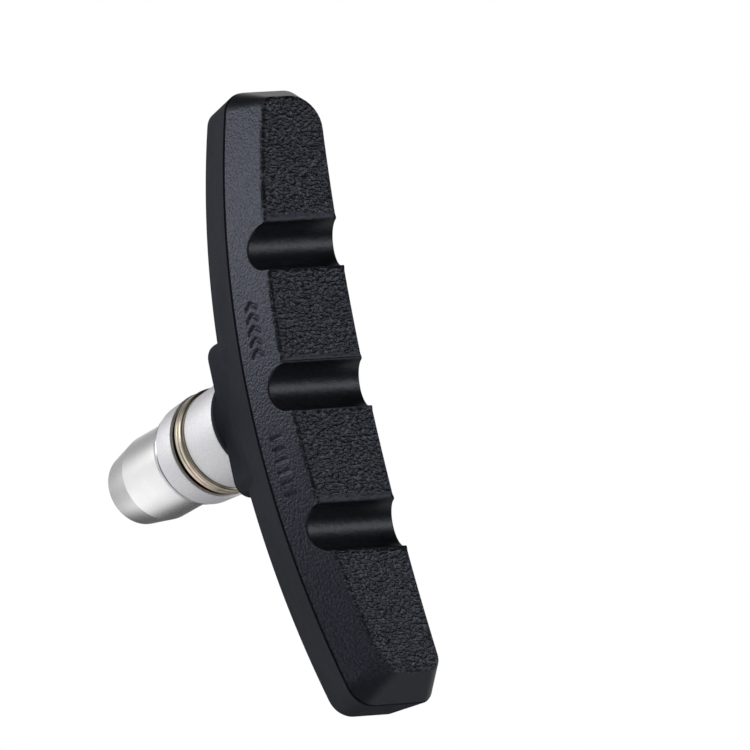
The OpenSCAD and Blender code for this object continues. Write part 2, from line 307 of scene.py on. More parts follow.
def worn_rubber():
    """The rims of the grooves: crinkle rubbed down to a mottled shine."""
    s = Shader("worn_rubber", Specular_IOR_Level=0.5, Specular_Tint=RUBBER_SHEEN)
    patches = s.noise(0.5, detail=3.0, scale=(1, 0.6, 1))
    s.colour(s.ramp(patches, (0.35, (0.004, 0.004, 0.006)), (0.65, (0.022, 0.023, 0.028))))
    s.roughness(s.noise(0.4), 0.44, 0.60)
    s.bump(patches, 0.1)
    return s.material


def back_rubber():
    """Behind the parting line: a smoother, duller skin, with faint flow marks."""
    s = Shader("back_rubber", Specular_IOR_Level=0.2, Specular_Tint=RUBBER_SHEEN)
    flow = s.noise(2.5, scale=(0.3, 1, 1))
    s.colour(s.ramp(flow, (0.3, (0.010, 0.011, 0.017)), (0.7, (0.017, 0.019, 0.027))))
    s.roughness(s.noise(0.8), 0.58, 0.68)
    s.bump(s.noise(0.25, detail=2.0), 0.02)
    return s.material


def blasted_alloy():
    """The cups: pale aluminium with a fine blasted grain."""
    s = Shader("blasted_alloy", Metallic=1.0)
    grain = s.noise(0.2, detail=2.0)
    s.colour(s.ramp(grain, (0.3, (0.86, 0.86, 0.89)), (0.7, (0.97, 0.97, 0.99))))
    s.roughness(s.noise(0.4), 0.58, 0.68)
    s.bump(grain, 0.04)
    return s.material


def seat_painted_shade():
    """Spherical seats and the slopes beside them: alloy coloured near black, as painted shade for the
    narrow gaps between the cups and the convex washers.
    """
    s = Shader("seat_painted_shade", Specular_IOR_Level=0.2)
    s.colour(s.ramp(s.noise(0.6), (0.3, (0.008, 0.007, 0.004)), (0.7, (0.022, 0.019, 0.012))))
    s.roughness(s.noise(0.3), 0.4, 0.6)
    return s.material


def yellow_plating():
    """The convex washers: yellow passivated steel, olive and rose where the film is thicker."""
    s = Shader("yellow_plating", Metallic=1.0)
    s.colour(s.ramp(
        s.noise(3.2, detail=2.0),
        (0.32, (0.42, 0.41, 0.31)),
        (0.45, (0.60, 0.54, 0.43)),
        (0.58, (0.74, 0.66, 0.54)),
        (0.72, (0.66, 0.44, 0.36)),
    ))
    s.roughness(s.noise(0.5, scale=(1, 1, 4)), 0.26, 0.40)
    s.bump(s.noise(0.2, scale=(0.4, 0.4, 3)), 0.003)
    return s.material


def plated_steel():
    """Stud, flat washer and plate: bright zinc over turned or rolled steel."""
    s = Shader("plated_steel", Metallic=1.0)
    s.colour(s.ramp(s.noise(0.9), (0.3, (0.50, 0.50, 0.52)), (0.7, (0.66, 0.66, 0.68))))
    s.roughness(s.noise(0.4), 0.24, 0.36)
    s.bump(s.noise(0.15, scale=(0.5, 0.5, 3)), 0.003)
    return s.material


def polished_nut():
    """The nut: polished bright plating with faint lines from turning round its axis."""
    s = Shader("polished_nut", Metallic=1.0)
    s.colour(s.ramp(s.noise(2.0), (0.3, (0.85, 0.85, 0.85)), (0.7, (0.90, 0.90, 0.90))))
    s.roughness(s.noise(0.5, scale=(0.2, 0.2, 4)), 0.22, 0.3)
    s.bump(s.noise(0.12, detail=1.0, scale=(0.05, 0.05, 4)), 0.0012)
    return s.material


# Mesh helpers, in millimetres

def mesh_object(name, points, faces, materials, face_materials=None, sharp_deg=35):
    mesh = bpy.data.meshes.new(name)
    mesh.from_pydata((np.asarray(points, float) * MM).tolist(), [], faces)
    for material in materials:
        mesh.materials.append(material)
    if face_materials is not None:
        mesh.polygons.foreach_set("material_index", np.asarray(face_materials, np.int32))
    mesh.shade_smooth()
    mesh.set_sharp_from_angle(angle=math.radians(sharp_deg))
    mesh.update()
    return link(bpy.data.objects.new(name, mesh))


def smoothstep(x, low, high):
    t = np.clip((x - low) / (high - low), 0, 1)
    return t * t * (3 - 2 * t)


def arc_points(centre, radius, a0, a1, steps):
    """Points of an arc in degrees, both ends included."""
    angles = np.radians(np.linspace(a0, a1, steps + 1))
    return [(centre[0] + radius * math.cos(a), centre[1] + radius * math.sin(a)) for a in angles]


def rounded(corners, steps=5):
    """A closed outline whose corners (x, y, radius) are rounded by their radii."""
    out = []
    for i, (x, y, radius) in enumerate(corners):
        if not radius:
            out.append((x, y))
            continue
        here = Vector((x, y))
        back = (Vector(corners[i - 1][:2]) - here).normalized()
        ahead = (Vector(corners[(i + 1) % len(corners)][:2]) - here).normalized()
        half = back.angle(ahead) / 2
        centre = here + (back + ahead).normalized() * (radius / math.sin(half))
        start = here + back * (radius / math.tan(half)) - centre
        end = here + ahead * (radius / math.tan(half)) - centre
        sweep = start.angle_signed(end)
        for k in range(steps + 1):
            turn = -sweep * k / steps
            c, s = math.cos(turn), math.sin(turn)
            out.append((centre.x + start.x * c - start.y * s, centre.y + start.x * s + start.y * c))
    return out


def outline_normals(outline):
    """Outward unit normals of a closed outline that runs anticlockwise."""
    along = np.roll(outline, -1, 0) - np.roll(outline, 1, 0)
    normals = np.stack([along[:, 1], -along[:, 0]], 1)
    return normals / np.linalg.norm(normals, axis=1)[:, None]


def circle(radius, z, steps=TURN_STEPS):
    angles = np.linspace(0, 2 * math.pi, steps, endpoint=False)
    return [(radius * math.cos(a), radius * math.sin(a), z) for a in angles]


def ring_faces(rings, steps, closed):
    """Faces between rings of points. If closed, the last ring joins the first."""
    faces = []
    for k in range(rings if closed else rings - 1):
        low, high = k * steps, (k + 1) % rings * steps
        for i in range(steps):
            ahead = (i + 1) % steps
            faces.append([low + i, low + ahead, high + ahead, high + i])
    return faces


def capped_faces(rings, steps):
    """Faces between rings of points, with a flat cap on the first and on the last."""
    last = (rings - 1) * steps
    caps = [list(range(steps))[::-1], list(range(last, last + steps))]
    return ring_faces(rings, steps, False) + caps


def turned(name, outline, materials, seconds=()):
    """A closed outline of (radius, height), anticlockwise, turned round the z axis.
    The stretches of the outline listed in seconds take the second material."""
    points = [point for radius, z in outline for point in circle(radius, z)]
    kinds = [int(k in seconds) for k in range(len(outline)) for _ in range(TURN_STEPS)]
    faces = ring_faces(len(outline), TURN_STEPS, True)
    return mesh_object(name, points, faces, materials, kinds, sharp_deg=30)


def span_mm(node):
    """A turned node's lowest and highest z and its largest radius, in millimetres."""
    low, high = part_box(node)
    return low.z / MM, high.z / MM, high.x / MM


def hand_in(piece, node):
    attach(piece, "root")
    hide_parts(node)


# The rubber block. Columns of points run along x, and rows run round it from the face to the back.

# Places of its materials
FRICTION, SIDE, GROOVE, BACK, WORN = range(5)
# Materials of the rows. The rows of the face's own edge take the material of the face beside them.
ROW_MATERIALS = {"front": SIDE, "parting": BACK, "back": BACK, "back_edge": BACK}
BLOCK_SHARP_DEG = 50

# The columns near the ends follow the corners, and those between them are spaced evenly, more closely
# where the stretch of the side between two grooves holds marks
MIDDLE_X = 24
FINE_X, FINE_STEP, COARSE_STEP = 13.4, 0.14, 0.2
RIM_STEPS, GROOVE_STEPS = 5, 40
TANGENT_STEPS, CORNER_STEPS = 34, 10
END_COLUMNS = TANGENT_STEPS + CORNER_STEPS
ACROSS_STEPS = 78

# The front's rows lie closest in the band of its height that holds the marks
MARK_BAND = (0.22, 0.78)
PARTING_ROWS = (0.2, 0.36, 0.5, 0.64, 0.8, 1.0)

# A distance from a groove that counts as touching it, one inside it, and one too far away to matter
TOUCHING, INSIDE, FAR = 0.01, -1.0, 9.0
# Where the face is higher than this, a column belongs to the groove itself and not to its rim
GROOVE_FROM_Z = 0.1

# The crinkle's noise: lobes per millimetre along x and y and the slice of noise that they lie in, how
# much it is warped, and the scales and shares of its coarse and fine parts
LOBES_X, LOBES_Y, SLICE = 1.9, 1.2, 3.7
WARP_SCALE, WARP = 1.4, 0.3
COARSE_SCALE, COARSE_CREASE, COARSE_SHARE = 1.2, 2.2, 0.55
FINE_SCALE, FINE_SHIFT, FINE_SHARE = 2.2, Vector((7.1, 3.3, 0)), 0.45


def side_y(x, side):
    """The two long sides at x, each moved out by side."""
    out = FACE_OUT - BOW_OUT_R + np.sqrt((BOW_OUT_R + side) ** 2 - x * x)
    inner = -FACE_IN - BOW_IN_R + np.sqrt((BOW_IN_R - side) ** 2 - x * x)
    return out, inner


def flat_stretch(low, high, rim):
    """Columns between two grooves, or between a groove and an end."""
    step = FINE_STEP if abs(low + high) / 2 < FINE_X else COARSE_STEP
    xs = np.linspace(low, high, round((high - low) / step) + 1)
    return [(x, 0.0, min(abs(abs(x - g) - rim) for g in GROOVE_XS)) for x in xs]


def groove_stretch(centre, rim):
    """Columns through one groove: a rounded rim, the round of the groove and the other rim."""
    lead = math.degrees(math.atan2(GROOVE_RIM_R, rim))
    left = arc_points((centre - rim, GROOVE_RIM_R), GROOVE_RIM_R, -90, -lead, RIM_STEPS)[1:]
    hollow = arc_points((centre, 0), GROOVE_R, 180 - lead, lead, GROOVE_STEPS)[1:-1]
    right = [(2 * centre - x, z) for x, z in reversed(left)]
    return [(x, z, INSIDE) for x, z in left + hollow + right]


def middle_columns():
    """The columns between the ends: x, the height of the face there and how far it is from a groove."""
    rim = math.sqrt((GROOVE_R + GROOVE_RIM_R) ** 2 - GROOVE_RIM_R ** 2)
    edges = [-MIDDLE_X] + [x + s * rim for x in GROOVE_XS for s in (-1, 1)] + [MIDDLE_X]
    columns = flat_stretch(edges[0], edges[1], rim)
    for i, centre in enumerate(GROOVE_XS):
        columns += groove_stretch(centre, rim)
        columns += flat_stretch(edges[2 * i + 2], edges[2 * i + 3], rim)
    return np.array(columns)


def end_edge(side, end, r, convex):
    """A long edge from MIDDLE_X round its corner, of radius r, to the block's end, without its first
    point. The side and the end are moved out by side and end."""
    x = FACE_L / 2 + end - r
    if convex:
        centre_y = FACE_OUT - BOW_OUT_R
        y = centre_y + math.sqrt((BOW_OUT_R + side - r) ** 2 - x * x)
        start = math.degrees(math.atan2(y - centre_y, x))
    else:
        centre_y = -FACE_IN - BOW_IN_R
        y = centre_y + math.sqrt((BOW_IN_R - side + r) ** 2 - x * x)
        start = math.degrees(math.atan2(y - centre_y, x)) - 180
    corner = arc_points((x, y), r, start, 0, CORNER_STEPS)
    xs = np.linspace(MIDDLE_X, corner[0][0], TANGENT_STEPS + 1)[1:-1]
    ys = side_y(xs, side)[0 if convex else 1]
    return list(zip(xs, ys)) + corner


def chevron_gap(x, t, at):
    """Distance from an open V whose tip points to -x."""
    across = np.abs(t)
    gap = np.abs(at - x + across * CHEVRON_LEAN) * CHEVRON_LEAN_COS
    return np.where(across < CHEVRON_HALF_H, gap, FAR)


def bar_gap(x, t, at):
    """Distance from a bar that stands across the side."""
    return np.where(np.abs(t) < BAR_HALF_H, np.abs(x - at), FAR)


def mark_depth(x, t):
    """How deep the generic marks cut the convex side: chevrons on one stretch and bars on the other.
    t is the distance along the slant of the side from the middle of the marks."""
    gaps = [chevron_gap(x, t, CHEVRON_X + CHEVRON_PITCH * i) for i in range(CHEVRONS)]
    gaps += [bar_gap(x, t, BAR_X + BAR_PITCH * i) for i in range(BARS)]
    nearest = np.minimum.reduce(gaps)
    return MARK_DEPTH * (1 - smoothstep(nearest, MARK_HALF_W * 0.5, MARK_HALF_W * 1.5))


def ridge_height(x, y):
    """The crinkle of the friction face at a point, from 0 in the hollows to 1 on the ridges."""
    p = Vector((x * LOBES_X, y * LOBES_Y, SLICE))
    q = p + noise.noise_vector(p * WARP_SCALE) * WARP
    coarse = 1 - abs(noise.noise(q * COARSE_SCALE)) * COARSE_CREASE
    fine = 0.5 + noise.noise((q + FINE_SHIFT) * FINE_SCALE)
    return min(max(COARSE_SHARE * coarse + FINE_SHARE * fine, 0), 1)


def block_rows():
    """Rows of the block's sides, from the face to the back, as a kind and a value: an angle in degrees
    on the two rounded edges, and a share of the height elsewhere."""
    low, high = MARK_BAND
    front = [*np.linspace(0, low, 5)[1:], *np.linspace(low, high, 22)[1:], *np.linspace(high, 1, 5)[1:]]
    rows = [("face_edge", a) for a in np.linspace(0, 90, 5)]
    rows += [("front", f) for f in front]
    rows += [("parting", f) for f in PARTING_ROWS]
    rows += [("back", f) for f in np.linspace(0, 1, 8)[1:]]
    rows += [("back_edge", a) for a in np.linspace(0, 90, 6)[1:]]
    return rows


def parting_depth(f):
    """Depth of the parting line at a share of its width: sloped at both sides and flat between."""
    return PARTING_D * min(1, PARTING_SLOPE * (0.5 - abs(f - 0.5)))


def corner_radius(kind, value, end, convex):
    """Radius of one of the block's corners at one row."""
    face_r, parting_r, back_r = CORNER_RS[end, convex]
    if kind == "face_edge":
        return face_r - FACE_EDGE_R * (1 - math.sin(math.radians(value)))
    if kind == "front":
        return face_r + (parting_r - face_r) * value
    if kind == "parting":
        return parting_r
    if kind == "back":
        return parting_r + (back_r - parting_r) * value
    return back_r - BACK_EDGE_R * (1 - math.cos(math.radians(value)))


def row_offsets(kind, value, face_z, edge_r):
    """One row's height and how far it moves the sides and the ends out, for columns at which the face
    has these heights and its edge these roundings."""
    if kind == "face_edge":
        angle = math.radians(value)
        z = face_z + edge_r * (1 - math.cos(angle))
        inset = edge_r * (1 - math.sin(angle))
        return z, SIDE_FLARE * z / FRONT_H - inset, END_FLARE * z / FRONT_H - inset
    if kind == "front":
        foot = face_z + edge_r
        z = foot + value * (FRONT_H - PARTING_W / 2 - foot)
        return z, SIDE_FLARE * z / FRONT_H, END_FLARE * z / FRONT_H
    if kind == "parting":
        z = FRONT_H + PARTING_W * (value - 0.5)
        side, end = SIDE_FLARE - parting_depth(value), END_FLARE - parting_depth(value)
    elif kind == "back":
        foot = FRONT_H + PARTING_W / 2
        z = foot + value * (BACK_Z - BACK_EDGE_R - foot)
        side, end = SIDE_FLARE - value * BACK_TAPER, END_FLARE - value * BACK_END_TAPER
    else:
        angle = math.radians(value)
        z = BACK_Z - BACK_EDGE_R * (1 - math.sin(angle))
        inset = BACK_EDGE_R * (1 - math.cos(angle))
        side, end = SIDE_FLARE - BACK_TAPER - inset, END_FLARE - BACK_END_TAPER - inset
    level = np.ones_like(face_z)
    return z * level, side * level, end * level


def long_edges(middle, kind, value):
    """One row's points along the convex and the concave side, from the low x end to the high one."""
    x, face_z, to_groove = middle.T
    edge_r = GROOVE_END_R + (FACE_EDGE_R - GROOVE_END_R) * smoothstep(to_groove, 0, EDGE_BLEND_W)
    z, side, _ = row_offsets(kind, value, face_z, edge_r)
    at_end = row_offsets(kind, value, np.zeros(1), np.full(1, FACE_EDGE_R))
    end_z, end_side, end_out = (float(measure[0]) for measure in at_end)
    cut = np.zeros_like(x)
    if kind == "front":
        slant = math.hypot(FRONT_H, SIDE_FLARE) * (z / FRONT_H - MARK_AT)
        cut = mark_depth(x, slant)
    edges = []
    for convex in (True, False):
        y = side_y(x, side - cut)[0] if convex else side_y(x, side)[1]
        low, high = (end_edge(end_side, end_out, corner_radius(kind, value, end, convex), convex)
                     for end in (-1, 1))
        left = [(-px, py, end_z) for px, py in reversed(low)]
        right = [(px, py, end_z) for px, py in high]
        edges.append(np.array(left + list(zip(x, y, z)) + right))
    return edges


def side_loop(edges, share):
    """One row's points right round the block: the convex side, an end, the concave side, an end."""
    convex, concave = edges
    high = convex[-1] * (1 - share) + concave[-1] * share
    low = convex[0] * (1 - share) + concave[0] * share
    return np.concatenate([convex, high, concave[::-1], low[::-1]])


def sink_relief(face, middle):
    """Sinks the crinkle into the flat stretches of the face and rolls them over beside the grooves."""
    columns, across = face.shape[:2]
    to_groove = np.full(columns, FAR)
    to_groove[END_COLUMNS:-END_COLUMNS] = middle[:, 2]
    for i in range(columns):
        width = np.linalg.norm(face[i, 0] - face[i, -1])
        roll = RIM_ROLL_H * max(0, 1 - abs(to_groove[i]) / RIM_ROLL_W) ** 2 * (to_groove[i] > 0)
        for j in range(across):
            x, y, _ = face[i, j]
            end_gap = FACE_L / 2 - FACE_EDGE_R - abs(x) + OVER_EDGE
            side_gap = width * min(j, across - 1 - j) / (across - 1) + OVER_EDGE
            gap = min(side_gap, end_gap, to_groove[i] - OFF_GROOVE)
            weight = float(smoothstep(gap, 0.0, SMOOTH_BORDER))
            face[i, j, 2] += RELIEF_DEPTH * (1 - ridge_height(x, y)) * weight + roll


def is_worn(x, to_groove):
    """Whether a column lies on a groove's rim, or on the worn strip of the face at its lower x."""
    nearest = min(GROOVE_XS, key=lambda g: abs(g - x))
    return to_groove < TOUCHING or (to_groove < WORN_RIM_W and x < nearest)


def column_kinds(middle, columns):
    """For each column of the face, whether it lies in a groove and whether it is worn."""
    groove = np.zeros(columns, bool)
    worn = np.zeros(columns, bool)
    groove[END_COLUMNS:-END_COLUMNS] = (middle[:, 2] < 0) & (middle[:, 1] > GROOVE_FROM_Z)
    worn[END_COLUMNS:-END_COLUMNS] = [is_worn(x, to_groove) for x, _, to_groove in middle]
    return groove, worn


def friction_faces(index, groove, worn):
    """Faces of the friction face, and their materials."""
    faces, kinds = [], []
    for i in range(len(index) - 1):
        kind = FRICTION
        if groove[i] and groove[i + 1]:
            kind = GROOVE
        elif worn[i] and worn[i + 1]:
            kind = WORN
        for j in range(ACROSS_STEPS):
            faces.append([index[i + 1, j], index[i + 1, j + 1], index[i, j + 1], index[i, j]])
            kinds.append(kind)
    return faces, kinds


def side_faces(loops, rows, in_groove):
    """Faces between the loops of point numbers, and of the flat back, and their materials."""
    faces, kinds = [], []
    for low, high, (row, _) in zip(loops, loops[1:], rows[1:]):
        for i in range(len(low)):
            ahead = (i + 1) % len(low)
            faces.append([high[i], high[ahead], low[ahead], low[i]])
            beside = GROOVE if in_groove[i] and in_groove[ahead] else FRICTION
            kinds.append(ROW_MATERIALS.get(row, beside))
    faces.append(loops[-1][::-1])
    kinds.append(BACK)
    return faces, kinds


def block_mesh():
    """Points, faces and the material of each face, for the block without its hub."""
    middle = middle_columns()
    rows = block_rows()
    share = np.linspace(0, 1, ACROSS_STEPS + 1)[:, None]
    convex, concave = long_edges(middle, *rows[0])
    face = convex[:, None] * (1 - share) + concave[:, None] * share
    sink_relief(face, middle)
    sides = [side_loop(long_edges(middle, *row), share[1:-1]) for row in rows[1:]]

    columns, across = face.shape[:2]
    index = np.arange(columns * across).reshape(columns, across)
    loops = [np.concatenate([index[:, 0], index[-1, 1:-1], index[::-1, -1], index[0, -2:0:-1]])]
    for k, side in enumerate(sides):
        loops.append(np.arange(len(side)) + columns * across + k * len(side))

    groove, worn = column_kinds(middle, columns)
    plain = np.zeros(across - 2, bool)
    faces, kinds = friction_faces(index, groove, worn)
    more_faces, more_kinds = side_faces(loops, rows, np.concatenate([groove, plain, groove[::-1], plain]))
    points = np.concatenate([face.reshape(-1, 3), *sides])
    points[:, 1] = np.clip(points[:, 1], cad_box[0][1] / MM, cad_box[1][1] / MM)
    return points, [[int(v) for v in corners] for corners in faces + more_faces], kinds + more_kinds


def hub_outline():
    straight_x, straight_y = HUB_L / 2 - HUB_CORNER_R, HUB_W / 2 - HUB_CORNER_R
    outline = []
    for sx, sy, start in ((1, 1, 0), (-1, 1, 90), (-1, -1, 180), (1, -1, 270)):
        outline += arc_points((sx * straight_x, sy * straight_y), HUB_CORNER_R, start, start + 90, 10)
    return np.array(outline)


def hub_solid(material):
    """The raised pad round the stud, as a closed mesh that reaches into the block."""
    outline = hub_outline()
    normals = outline_normals(outline)
    levels = [(FRONT_H + PARTING_W, 0.0), (HUB_Z - HUB_EDGE_R, 0.0)]
    for a in np.radians(np.linspace(15, 90, 6)):
        levels.append((HUB_Z - HUB_EDGE_R * (1 - math.sin(a)), HUB_EDGE_R * (1 - math.cos(a))))
    points = [(x, y, z) for z, inset in levels for x, y in outline - inset * normals]
    return mesh_object("hub", points, capped_faces(len(levels), len(outline)), [material])


def seat_solid(material):
    """The flared round seat under the thick cup, as a closed mesh that reaches into the block."""
    seat_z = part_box("brake_block")[1].z / MM
    sunk = BACK_Z - 2
    outline = rounded([
        (0, sunk, 0),
        (BOSS_ROOT_D / 2, sunk, 0),
        (BOSS_ROOT_D / 2, BACK_Z, 0.3),
        (BOSS_D / 2, HUB_Z, 0.2),
        (BOSS_D / 2, seat_z, 0.15),
        (0, seat_z, 0),
    ])
    rings = [circle(radius, z) for radius, z in outline[1:-1]]
    points = [point for ring in rings for point in ring]
    return mesh_object("seat", points, capped_faces(len(rings), TURN_STEPS), [material])


def join_solids(body, *others):
    """Unites closed meshes with the body and deletes them."""
    for other in others:
        modifier = body.modifiers.new("join", "BOOLEAN")
        modifier.operation = "UNION"
        modifier.solver = "MANIFOLD"
        modifier.object = other
    bpy.context.view_layer.objects.active = body
    for modifier in list(body.modifiers):
        with bpy.context.temp_override(object=body, active_object=body, selected_objects=[body]):
            bpy.ops.object.modifier_apply(modifier=modifier.name)
    for other in others:
        bpy.data.objects.remove(other)


def make_block():
    points, faces, kinds = block_mesh()
    materials = [friction_rubber(), side_rubber(), smooth_rubber(), back_rubber(), worn_rubber()]
    block = mesh_object("rubber_block", points, faces, materials, kinds, sharp_deg=BLOCK_SHARP_DEG)
    join_solids(block, hub_solid(materials[BACK]), seat_solid(materials[BACK]))
    block.data.shade_smooth()
    block.data.set_sharp_from_angle(angle=math.radians(BLOCK_SHARP_DEG))
    hand_in(block, "brake_block")


# Turned pieces. In an outline, the third number of a corner is its rounding.

def angle_at(radius):
    """Angle, in degrees, at which the spherical seats have this radius from the axis."""
    return math.degrees(math.acos(radius / SEAT_R))


def make_thick_cup(materials):
    """The cup against the rubber. Its seat opens away from the rubber."""
    foot, rim, foot_r = span_mm("inner_cup_washer")
    centre = span_mm("inner_dome_washer")[1] - DOME_RIM_H + DOME_DROP
    mouth_r = math.sqrt(SEAT_R ** 2 - (centre - rim) ** 2)
    a_mouth = math.degrees(math.atan2(rim - centre, mouth_r))
    seat = arc_points((0, centre), SEAT_R, a_mouth, -angle_at(CUP_HOLE_R), 16)
    outline = rounded([
        (CUP_HOLE_R, foot, 0.1),
        (foot_r, foot, 0.3),
        (foot_r - THICK_CUP_TAPER, rim, 0.15),
        (mouth_r, rim, 0),
    ])[:-1]
    # The spherical seat takes the second material: painted shade for the gap round the convex washer
    painted_shade_stretches = range(len(outline), len(outline) + len(seat) - 1)
    piece = turned("inner_cup", outline + seat, materials, painted_shade_stretches)
    hand_in(piece, "inner_cup_washer")


def make_thin_cup(materials):
    """The cup on the nut's side. Its seat and its sloping mouth open towards the rubber."""
    rim, end, rim_r = span_mm("outer_cup_washer")
    centre = span_mm("outer_dome_washer")[0] + DOME_RIM_H - DOME_DROP
    seat = arc_points((0, centre), SEAT_R, angle_at(CUP_HOLE_R), angle_at(THIN_CUP_SEAT_R), 10)
    outline = rounded([
        (THIN_CUP_MOUTH_R, rim, 0.06),
        (rim_r, rim, 0.12),
        (rim_r - THIN_CUP_TAPER, end, 0.35),
        (CUP_HOLE_R, end, 0.1),
    ])
    # The seat and the sloping mouth take the second material: painted shade for the gap round the convex
    # washer
    painted_shade_stretches = range(len(seat) + 3)
    piece = turned("outer_cup", seat + outline, materials, painted_shade_stretches)
    hand_in(piece, "outer_cup_washer")


def make_cups():
    # The second material is painted shade for the seats between the cups and the convex washers
    materials = [blasted_alloy(), seat_painted_shade()]
    make_thick_cup(materials)
    make_thin_cup(materials)


def dome_outline(rim_r):
    """Section of a convex washer that stands on its flat side."""
    centre = (0, DOME_RIM_H - DOME_DROP)
    rim = rounded([
        (DOME_HOLE_R, 0, 0.12),
        (rim_r, 0, 0.12),
        (rim_r, DOME_RIM_H, 0.3),
        (DOME_FOOT_R, DOME_RIM_H, 0),
    ])[:-1]
    return rim + arc_points(centre, SEAT_R, angle_at(DOME_FOOT_R), angle_at(DOME_HOLE_R), 14)


def make_domes():
    materials = [yellow_plating()]
    for name, way in (("inner_dome", -1), ("outer_dome", 1)):
        node = name + "_washer"
        low, high, rim_r = span_mm(node)
        flat_z = low if way > 0 else high
        placed = [(r, flat_z + way * z) for r, z in dome_outline(rim_r)]
        piece = turned(name, placed[::way], materials)
        hand_in(piece, node)


def make_flat_washer():
    low, high, r = span_mm("flat_washer")
    outline = rounded([(FLAT_HOLE_R, low, 0.06), (r, low, 0.4), (r, high, 0.1), (FLAT_HOLE_R, high, 0.06)])
    piece = turned("thin_washer", outline, [plated_steel()])
    hand_in(piece, "flat_washer")


def hex_radius(angle):
    """Distance from the axis to a hexagon's flat sides, whose corner lies on the x axis."""
    off = (angle + math.pi / 6) % (math.pi / 3) - math.pi / 6
    return KEY_AF / 2 / math.cos(math.pi / 6 - abs(off))


def key_socket(mouth_r, mouth_z, socket_z):
    """Two rings of the nut's hexagon socket: its chamfered edge and its foot."""
    edge, foot = [], []
    for a in np.linspace(0, 2 * math.pi, TURN_STEPS, endpoint=False):
        r = hex_radius(a)
        edge.append((r * math.cos(a), r * math.sin(a), mouth_z - (mouth_r - r)))
        foot.append((r * math.cos(a), r * math.sin(a), socket_z))
    return [edge, foot]


def make_nut():
    """The barrel nut: tapered and with a key socket at its end, and bored through for the stud."""
    low, high, r = span_mm("nut")
    bore_r = STUD_R + THREAD_GAP
    mouth_r = KEY_AF / 2 / math.cos(math.pi / 6) + KEY_CHAMFER
    socket_z = high - KEY_DEPTH
    outer = rounded([
        (bore_r, low, 0.25),
        (r, low, 0.3),
        (r, high - NUT_TAPER_H, 0.06),
        (NUT_END_R, high, 0.22),
        (bore_r, high, 0),
    ])[:-1]
    rings = [circle(radius, z) for radius, z in outer]
    rings.append(circle(mouth_r, high))
    rings += key_socket(mouth_r, high, socket_z)
    rings.append(circle(bore_r, socket_z))
    points = [point for ring in rings for point in ring]
    faces = ring_faces(len(rings), TURN_STEPS, True)
    piece = mesh_object("barrel_nut", points, faces, [polished_nut()], sharp_deg=25)
    hand_in(piece, "nut")


def thread_ring(z, high):
    """Points round the stud at one height: the thread is a helix, and the tip ends in a chamfer."""
    room = min(STUD_R, STUD_R - TIP_CHAMFER + (high - z))
    fade = smoothstep(z, HUB_Z, HUB_Z + THREAD_PITCH)
    points = []
    for a in np.linspace(0, 2 * math.pi, THREAD_STEPS, endpoint=False):
        phase = (z / THREAD_PITCH - a / (2 * math.pi)) % 1
        cut = THREAD_DEPTH * (1 - smoothstep(abs(phase - 0.5), *THREAD_FLANK))
        radius = min(STUD_R - cut * fade, room)
        points.append((radius * math.cos(a), radius * math.sin(a), z))
    return points


def make_stud():
    """The stud: a flat head under the plate, a plain shank, and a thread above the hub."""
    low, high, head_r = span_mm("threaded_stud")
    plate_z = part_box("backing_plate")[0].z / MM
    shank = [(head_r, low), (head_r, plate_z), (STUD_R, plate_z), (STUD_R, HUB_Z)]
    rings = [circle(radius, z, THREAD_STEPS) for radius, z in shank]
    for z in np.arange(HUB_Z + THREAD_START, high, THREAD_PITCH / RINGS_PER_PITCH):
        rings.append(thread_ring(z, high))
    rings.append(circle(STUD_R - TIP_CHAMFER, high, THREAD_STEPS))
    points = [(0, 0, low)] + [point for ring in rings for point in ring] + [(0, 0, high)]
    faces = [[v + 1 for v in face] for face in ring_faces(len(rings), THREAD_STEPS, False)]
    last = 1 + (len(rings) - 1) * THREAD_STEPS
    for first, tip, way in ((1, 0, -1), (last, len(points) - 1, 1)):
        for i in range(THREAD_STEPS):
            rim = [first + i, first + (i + 1) % THREAD_STEPS]
            faces.append([tip, *rim[::way]])
    piece = mesh_object("stud", points, faces, [plated_steel()], sharp_deg=40)
    hand_in(piece, "threaded_stud")


def finish_plate():
    """The plate is sealed in the rubber: its solid stays, with a rolled steel finish."""
    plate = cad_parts["backing_plate"]
    plate.data.materials.clear()
    plate.data.materials.append(plated_steel())


# Floor, light and background

FLOOR_HALF, FLOOR_DROP = 3.0, 0.12 * MM
FLOOR_COLOUR, FLOOR_LIFT = (0.86, 0.86, 0.87, 1), 0.4
WORLD_LIGHT, WORLD_SEEN = 0.25, 1.0

# Lamps: direction from the pad, width, height and power
LAMP_DISTANCE, AIM_AT = 0.9, (0, 0, 0.015)
LAMPS = {
    "lamp_side": ((-0.50, 0.775, 0.375), 0.30, 0.5, 2.6),
    "lamp_face": ((0.08, -0.559, -0.825), 0.30, 0.9, 3.4),
    "lamp_top": ((0.16, 0.56, 0.80), 1.0, 1.0, 0.45),
}

# The tent lets more or less light through by the cosine of the angle from one direction
TENT_R = 2.5
WINDOW_WAY = (0.365, 0.931, 0.0)
WINDOW_RAMP = ((-0.65, 1.0), (-0.45, 0.45), (-0.25, 0.45), (0.0, 0.62), (0.2, 0.9), (0.4, 1.0))
